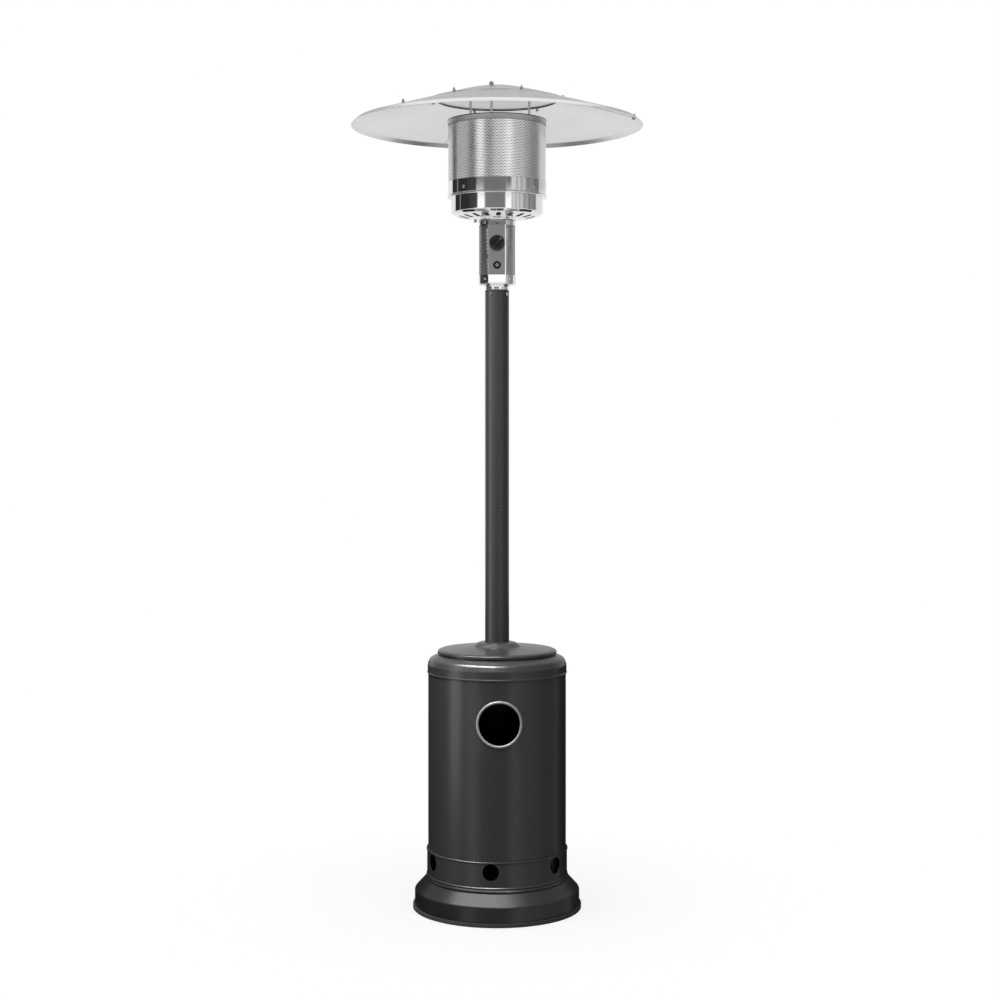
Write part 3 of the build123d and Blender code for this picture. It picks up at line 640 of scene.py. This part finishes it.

# %% [markdown]
# ## Emitter lid
# The lid over the emitter is a pressed cap with a wired edge round its top, a band that
# covers the end of the screen, and small spot welds round the band. The wired edge is
# near-black: painted shade for the dark line along the lid's top.

# %% Emitter lid
lid_low, lid_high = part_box("emitter_cap")
LID_R = lid_high.x / MM
WELDS = 18
top, bottom = lid_high.z / MM, lid_low.z / MM
profile = [(0.05, top - 0.6), (LID_R - 4, top - 0.6), (LID_R - 2.6, top - 0.1), (LID_R - 1.2, top),
           (LID_R + 0.6, top - 0.7), (LID_R + 1.2, top - 2.1), (LID_R + 0.6, top - 3.5),
           (LID_R - 0.6, top - 4.2), (LID_R - 0.5, bottom + 2.2), (LID_R + 0.5, bottom + 1.2),
           (LID_R + 0.5, bottom), (LID_R - 0.5, bottom)]
cap = lathe("emitter_lid", [(r * MM, z * MM) for r, z in profile], 128)
modify(cap, "SOLIDIFY", thickness=0.5 * MM, offset=-1)
welds = []
for k in range(WELDS):
    turn = 2 * pi * k / WELDS - radians(5)
    place = ((LID_R - 0.6) * MM * sin(turn), -(LID_R - 0.6) * MM * cos(turn), (bottom + 6.5) * MM)
    welds.append(start(bpy.ops.mesh.primitive_uv_sphere_add, "weld", segments=12, ring_count=8,
                       radius=1.5 * MM, location=place))
settle(join(cap, *welds), "stand", "stainless", lid_steel, "emitter_cap", smooth=30)
# the wired edge is near-black: painted shade for the dark line along the lid's top
wire = start(bpy.ops.mesh.primitive_torus_add, "emitter_wire", major_segments=128,
             minor_segments=12, major_radius=(LID_R - 0.2) * MM, minor_radius=1.4 * MM,
             location=(0, 0, (top - 0.4) * MM))
settle(wire, "stand", "stainless", shade_dark_steel, "emitter_cap")

# %% [markdown]
# ## Edge inside the reflector
# The outer panels reach under the crown and end there in a dark line, which is modelled as
# a thin rolled edge just below the sheet; its near-black colour is painted shade at the lap.

# %% Rolled edge under the crown
CROWN_LAP = 27 * MM
REFLECTOR_SHEET = 1 * MM
HEM_R = 1.2 * MM
crown_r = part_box("reflector_crown")[1].x
hem_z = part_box("reflector_panel_1")[1].z - REFLECTOR_SHEET - HEM_R
hem = start(bpy.ops.mesh.primitive_torus_add, "reflector_hem", major_segments=144,
            minor_segments=10, major_radius=crown_r - CROWN_LAP, minor_radius=HEM_R,
            location=(0, 0, hem_z))
# near-black edge: painted shade where the panels end under the crown
settle(hem, "stand", "stainless", shade_dark_steel)

# %% [markdown]
# ## Floor, light and sky
# The heater stands on pale paper that fades into a white surround. Bright metal shows
# whatever stands round it, so the sky that it reflects is drawn as a studio: white
# boxes and dark cloths side by side, a pale floor below and a soft ceiling above.

# %% Floor
def floor():
    ground = start(bpy.ops.mesh.primitive_circle_add, "floor", vertices=96, radius=3,
                   fill_type="NGON", location=(0, 0, 0))
    paint = Paint("floor_paper", Roughness=0.9, Emission_Strength=0.72)
    paint.set(Base_Color=paint.mix(paint.noise(40), grey(0.44), grey(0.46)))
    paint.set(Emission_Color=grey(1.0))
    where = paint.node("TexCoord", None, out=3)
    away = paint.node("VectorMath", {"operation": "LENGTH"}, where, out=0)
    paint.set(Alpha=1 - away.above(0.62, 0.36))
    ground.data.materials.append(paint.material)
    ground.visible_glossy = False
    ground.visible_diffuse = False


floor()

# %% [markdown]
# The floor is left out of reflections and of bounced light, so that it stays white without
# brightening the dark coat. A black card behind, which the camera doesn't see, darkens the
# coat's outlines. A black disc on the floor under the foot is a painted shadow, which hides
# the bright floor there from the vents.

# %% Dark card and the shade under the foot
card_black = Paint("card_black", Base_Color=grey(0.02), Roughness=0.9).material
card = start(bpy.ops.mesh.primitive_plane_add, "dark_card", size=1, rotation=(pi / 2, 0, 0),
             location=(0, 1.1, -0.25))
card.scale = (4.4, 1.9, 1)
card.data.materials.append(card_black)
card.visible_camera = False

SHADE_INSET = 12 * MM
# black disc under the foot: a painted shadow on the floor
shade = start(bpy.ops.mesh.primitive_circle_add, "floor_shade", vertices=96, fill_type="NGON",
              radius=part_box("base_pan")[1].x - SHADE_INSET, location=(0, 0, 1 * MM))
shade.data.materials.append(card_black)

# %% [markdown]
# Each lamp is a soft box. Most of them light only chosen pieces, as flags and screens
# round a lamp would do: the dark coat needs far more light than the bright metal.

# %% Lights
def soft_light(name, bearing, away, height, aim, size, power):
    """Box light at a bearing and distance from the post, aimed at a height on it."""
    data = bpy.data.lights.new(name, "AREA")
    data.shape = "RECTANGLE"
    data.size, data.size_y = size
    data.energy = power
    lamp = bpy.data.objects.new(name, data)
    place = Vector((away * sin(radians(bearing)), -away * cos(radians(bearing)), height))
    lamp.location = place
    lamp.rotation_euler = (Vector((0, 0, aim)) - place).to_track_quat("-Z", "Y").to_euler()
    bpy.context.scene.collection.objects.link(lamp)
    return lamp


def only_on(lamp, *pieces):
    """The lamp lights only these pieces."""
    chosen = bpy.data.collections.new(lamp.name + "_on")
    for piece in pieces:
        chosen.objects.link(piece)
    lamp.light_linking.receiver_collection = chosen


COATED = ("black_coat", "edge_trim", "black_screws")
coated = [nodes[part["node"]] for part in frame["record"]["subparts"]
          if part["material_slot"] in COATED and part["node"] != "base_pan"]
coated += [bpy.data.objects["housing_drum"], bpy.data.objects["hand_hole_rim"]]
emitter = [bpy.data.objects["emitter_mesh"]]
collar = [nodes["lower_collar"], nodes["head_neck"]]
reflector = [piece for name, piece in nodes.items() if name.startswith("reflector_panel")]
# name, bearing, distance, height, height aimed at, size, watts, pieces that it lights
LAMPS = (("left_strip", -71, 3.0, 1.1, 1.0, (1.1, 2.6), 30, coated),
         ("lid_box", -44, 1.35, 3.2, 0.1, (2.8, 1.0), 500, coated),
         ("foot_box", -26, 1.35, 3.2, 0.1, (5.0, 1.3), 180, [nodes["base_pan"]]),
         ("screen_box", 6, 3.0, 2.0, 2.05, (1.6, 1.8), 5.0, emitter),
         ("screen_side", -88, 3.0, 2.0, 2.05, (2.2, 1.8), 6.5, emitter),
         ("collar_box", 0, 6.0, 2.22, 1.716, (0.5, 0.4), 0.62, collar),
         ("reflector_box", 180, 2.2, 0.6, 2.12, (3.6, 1.8), 2.4, reflector))
for *setting, pieces in LAMPS:
    only_on(soft_light(*setting), *pieces)
bpy.data.lights["reflector_box"].use_shadow = False
soft_light("ceiling", 0, 0.01, 4.6, 0, (4.0, 4.0), 30)
print("lamps", len(LAMPS) + 1)


# %% [markdown]
# The walls' levels are set for the view from the front, where they make the
# streaks on the bowl and on the ring above it. The ring stands higher, so the lines of
# sight to it rise more, and it shows the upper set of walls. No other side is suited.

# %% Sky
# bearing in degrees and level there
DARK_LEFT = ((-180, 0.9), (-131, 0.9), (-128, 0.03), (-109, 0.03), (-106, 0.30), (-103, 0.03), (-76, 0.03),
             (-70, 0.05))
BOWL_WALL = DARK_LEFT + (
    (-52, 0.07), (-48, 1.3), (-33, 1.3), (-29, 0.23), (0, 0.21), (19, 0.22), (23, 1.3), (34, 1.3),
    (38, 0.55), (44, 0.75), (48, 0.45), (54, 0.75), (58, 0.42), (64, 0.7), (72, 0.32), (82, 0.45),
    (88, 0.2), (96, 0.3), (112, 0.2), (118, 0.8), (180, 0.9))
RING_WALL = DARK_LEFT + (
    (-50, 0.05), (-46, 0.19), (0, 0.18), (20, 0.19), (26, 0.10), (32, 0.12), (36, 0.75), (44, 0.65),
    (48, 0.4), (52, 0.7), (60, 0.38), (66, 0.6), (76, 0.2), (88, 0.28), (100, 0.16), (114, 0.2),
    (118, 0.55), (180, 0.8))


def sky():
    world = bpy.data.worlds.new("studio")
    bpy.context.scene.world = world
    world.use_nodes = True
    tree = world.node_tree
    tree.nodes.clear()

    def node(kind, **settings):
        made = tree.nodes.new("ShaderNode" + kind)
        for key, value in settings.items():
            setattr(made, key, value)
        return made

    def math(operation, *values):
        made = node("Math", operation=operation)
        for place, value in enumerate(values):
            if isinstance(value, bpy.types.NodeSocket):
                tree.links.new(value, made.inputs[place])
            else:
                made.inputs[place].default_value = value
        return made.outputs[0]

    def smooth(value, low, high):
        made = node("MapRange", interpolation_type="SMOOTHSTEP")
        tree.links.new(value, made.inputs[0])
        made.inputs[1].default_value = low
        made.inputs[2].default_value = high
        return made.outputs[0]

    def blend(share, first, second):
        """First where the share is 0, second where it is 1."""
        return math("ADD", first, math("MULTIPLY", share, math("SUBTRACT", second, first)))

    def around_the_studio(turn, stops):
        ramp = node("ValToRGB")
        strongest = max(level for _, level in stops)
        Paint.ramp(ramp.color_ramp, [(b / 360 + 0.5, grey(level / strongest)) for b, level in stops])
        tree.links.new(turn, ramp.inputs[0])
        return math("MULTIPLY", ramp.outputs[0], strongest)

    way = node("SeparateXYZ")
    tree.links.new(node("TexCoord").outputs["Generated"], way.inputs[0])
    x, y, z = way.outputs
    bearing = math("ARCTAN2", x, math("MULTIPLY", y, -1.0))
    turn = math("ADD", math("DIVIDE", bearing, 2 * pi), 0.5)
    walls = [around_the_studio(turn, stops) for stops in (BOWL_WALL, RING_WALL)]
    wall = blend(smooth(z, 0.1295, 0.1315), *walls)
    wall = blend(smooth(z, 0.2, 0.34), wall, 0.55)
    aside = math("ABSOLUTE", bearing)
    cloth = math("MULTIPLY", smooth(aside, 1.6, 1.75), smooth(aside, 2.35, 2.2))
    cloth = math("MULTIPLY", cloth, smooth(z, -0.6, -0.68))
    wall = blend(smooth(z, -0.30, -0.45), wall, blend(cloth, 0.85, 0.12))
    seen, around = node("Background"), node("Background")
    seen.inputs[0].default_value = grey(1.0)
    tree.links.new(wall, around.inputs[1])
    around.inputs[0].default_value = grey(1.0)
    mixed = node("MixShader")
    tree.links.new(node("LightPath").outputs["Is Camera Ray"], mixed.inputs[0])
    tree.links.new(around.outputs[0], mixed.inputs[1])
    tree.links.new(seen.outputs[0], mixed.inputs[2])
    tree.links.new(mixed.outputs[0], node("OutputWorld").inputs[0])
    print("walls", len(BOWL_WALL), len(RING_WALL), "stops")


sky()
bpy.context.scene.view_settings.view_transform = "Standard"
